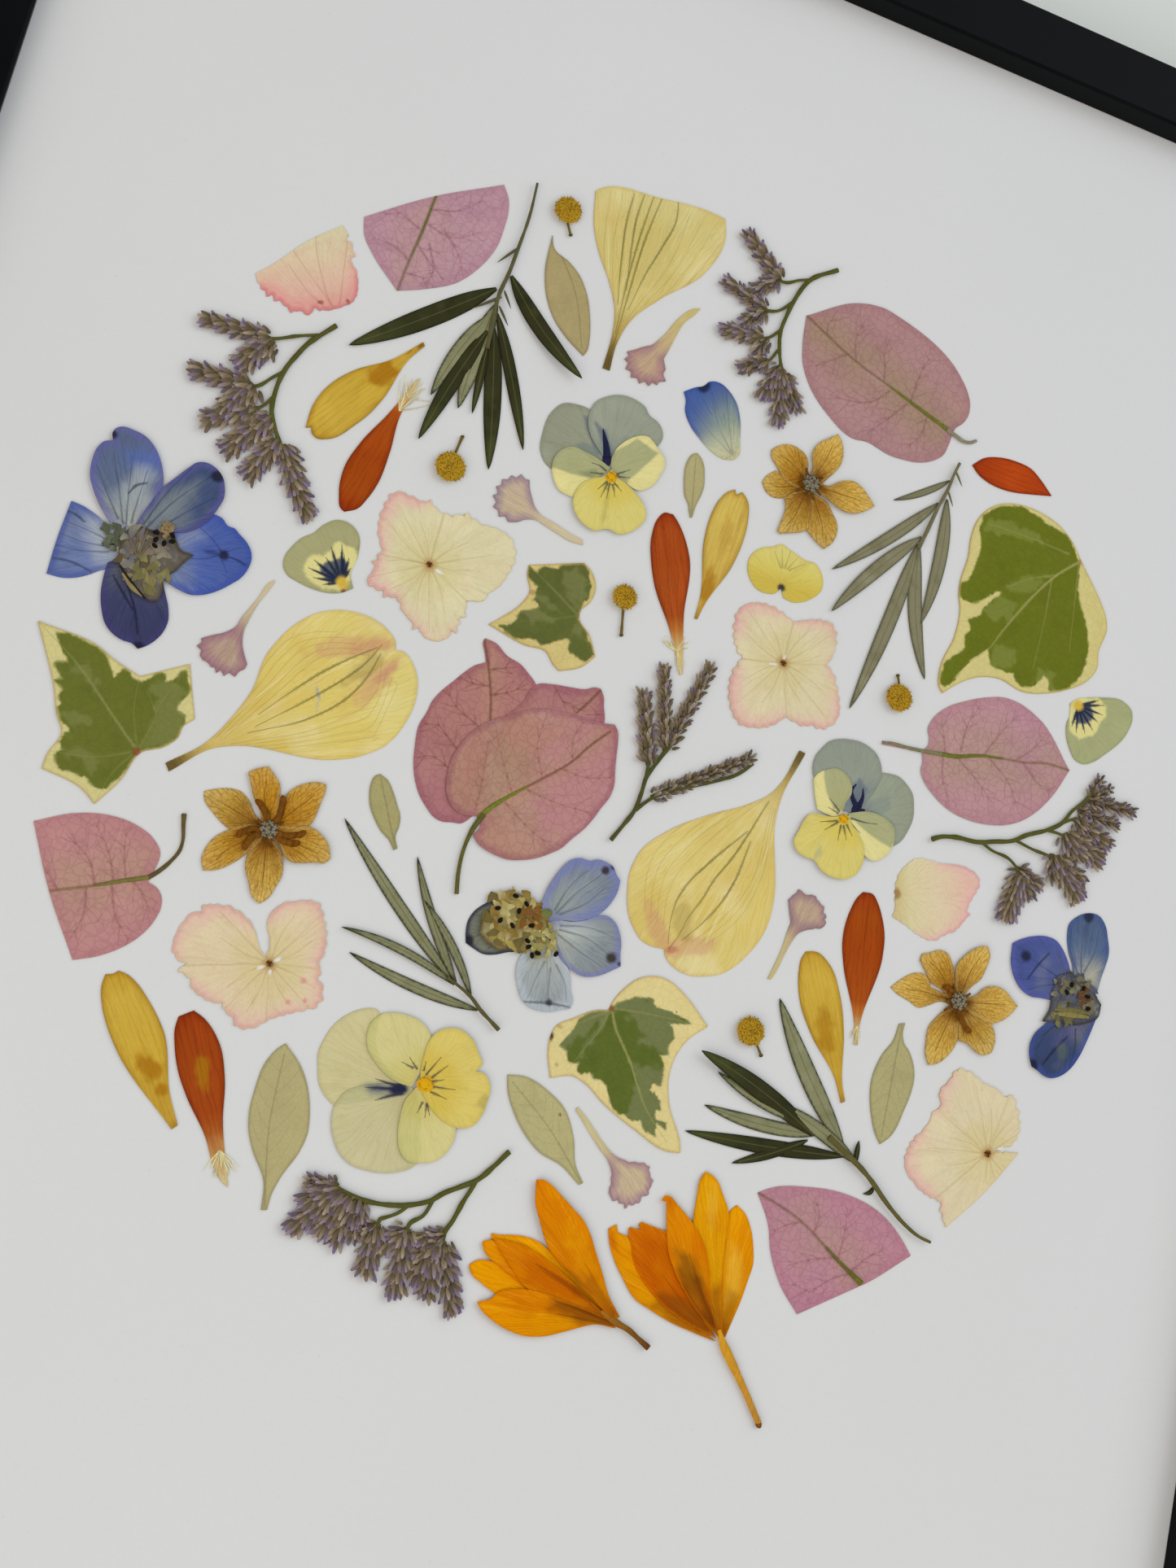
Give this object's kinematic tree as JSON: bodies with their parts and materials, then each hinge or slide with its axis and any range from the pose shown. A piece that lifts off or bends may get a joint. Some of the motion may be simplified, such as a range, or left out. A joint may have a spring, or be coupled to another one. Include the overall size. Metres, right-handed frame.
{
  "type": "pressed flower frame",
  "caption": "Flat black picture frame with a white card that carries a ring of separate pressed flowers, petals and leaves, and a toothed hanger on its back.",
  "frame": {"origin": "middle of the frame, on the plane of its back, on which it lies", "axes": "+Z out of the picture, +Y to the top of the picture, +X to its right"},
  "size_m": [0.318, 0.418, 0.022],
  "materials": {
    "frame_black": "black satin paint",
    "card_white": "matt white card with a fine tooth",
    "board_brown": "brown fibreboard, slightly mottled",
    "hanger_steel": "zinc-plated steel with a yellow tint",
    "petal_yellow": "papery dried petal with grey veins",
    "ray_yellow": "dried ray petal, amber in its middle",
    "ray_red": "dried ray petal, deep orange red",
    "petal_pink": "dried petal, cream to salmon",
    "petal_blue": "dried petal, royal blue to cream",
    "viola_yellow": "dried viola petals, yellow, olive and slate",
    "bract_mauve": "papery bract with a net of veins",
    "bract_rose": "papery rose bracts with brown ribs",
    "leaf_olive": "dry leathery leaf, pale olive",
    "leaf_ivy": "dry ivy leaf, green with cream margins",
    "leaf_dark": "nearly black narrow leaves",
    "leaf_grey": "grey-green narrow leaves with dark margins",
    "hydrangea_cream": "dry cream petals with pink margins",
    "star_ochre": "ochre petals with brown veins",
    "delphinium_blue": "blue and violet petals, pale at their bases",
    "statice_violet": "crumpled violet and brown florets",
    "crocus_orange": "glossy orange petals, brown at their base"
  },
  "bodies": {
    "root": {"backing_board": "board_brown", "bougainvillea": "bract_rose", "bract_bottom": "bract_mauve", "bract_left": "bract_mauve", "bract_right": "bract_mauve", "bract_top": "bract_mauve", "bract_upper_right": "bract_mauve", "crocus_1": "crocus_orange", "crocus_2": "crocus_orange", "delphinium_1": "delphinium_blue", "delphinium_2": "delphinium_blue", "delphinium_3": "delphinium_blue", "hanger_plate": "hanger_steel", "hydrangea_1": "hydrangea_cream", "hydrangea_2": "hydrangea_cream", "hydrangea_3": "hydrangea_cream", "hydrangea_4": "hydrangea_cream", "ivy_centre": "leaf_ivy", "ivy_left": "leaf_ivy", "ivy_right": "leaf_ivy", "ivy_small": "leaf_ivy", "leaf_olive_1": "leaf_olive", "leaf_olive_2": "leaf_olive", "leaf_olive_3": "leaf_olive", "leaf_olive_4": "leaf_olive", "mount_card": "card_white", "petal_blue": "petal_blue", "petal_pink_cut": "petal_pink", "petal_viola_left": "viola_yellow", "petal_viola_right": "viola_yellow", "petal_yellow_centre": "petal_yellow", "petal_yellow_left": "petal_yellow", "petal_yellow_top": "petal_yellow", "rail_bottom": "frame_black", "rail_left": "frame_black", "rail_right": "frame_black", "rail_top": "frame_black", "ray_red_1": "ray_red", "ray_red_2": "ray_red", "ray_red_3": "ray_red", "ray_red_4": "ray_red", "ray_yellow_1": "ray_yellow", "ray_yellow_2": "ray_yellow", "ray_yellow_3": "ray_yellow", "ray_yellow_4": "ray_yellow", "sprig_dark": "leaf_dark", "sprig_dark_2": "leaf_dark", "sprig_grey": "leaf_grey", "sprig_small": "leaf_grey", "star_1": "star_ochre", "star_2": "star_ochre", "star_3": "star_ochre", "statice_bottom": "statice_violet", "statice_centre": "statice_violet", "statice_left": "statice_violet", "statice_right": "statice_violet", "statice_top": "statice_violet", "viola_1": "viola_yellow", "viola_2": "viola_yellow", "viola_3": "viola_yellow"}
  },
  "joints": []
}
